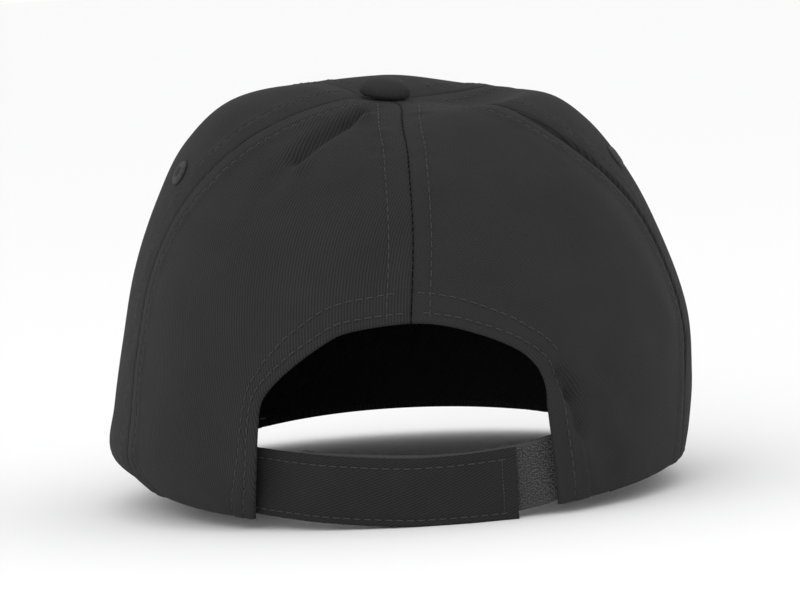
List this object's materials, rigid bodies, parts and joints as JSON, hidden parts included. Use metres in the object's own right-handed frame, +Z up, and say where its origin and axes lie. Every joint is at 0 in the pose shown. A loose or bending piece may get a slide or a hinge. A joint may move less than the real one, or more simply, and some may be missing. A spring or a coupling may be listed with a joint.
{
  "type": "five panel cap",
  "caption": "Dark charcoal cotton twill cap with a broad front panel, curved peak, covered top button and a hook and loop strap across the arched back opening.",
  "frame": {"origin": "under the middle of the cap's bounding box, on the surface that it rests on", "axes": "+Z up, -Y the way the peak points, +Y the back with its opening and strap, +X the wearer's left"},
  "size_m": [0.1798, 0.2688, 0.1277],
  "materials": {
    "twill": "matte cotton twill, dark charcoal",
    "sweatband_twill": "matte cotton twill, dark charcoal",
    "thread": "spun polyester sewing thread, charcoal",
    "loop_tape": "fuzzy nylon loop tape, charcoal"
  },
  "bodies": {
    "root": {"front_panel": "twill", "side_panel_left": "twill", "side_panel_right": "twill", "back_panel_left": "twill", "back_panel_right": "twill", "sweatband": "sweatband_twill", "peak": "twill", "button": "twill", "eyelet_left": "thread", "eyelet_right": "thread", "strap": "twill", "loop_tab": "loop_tape"}
  },
  "joints": []
}
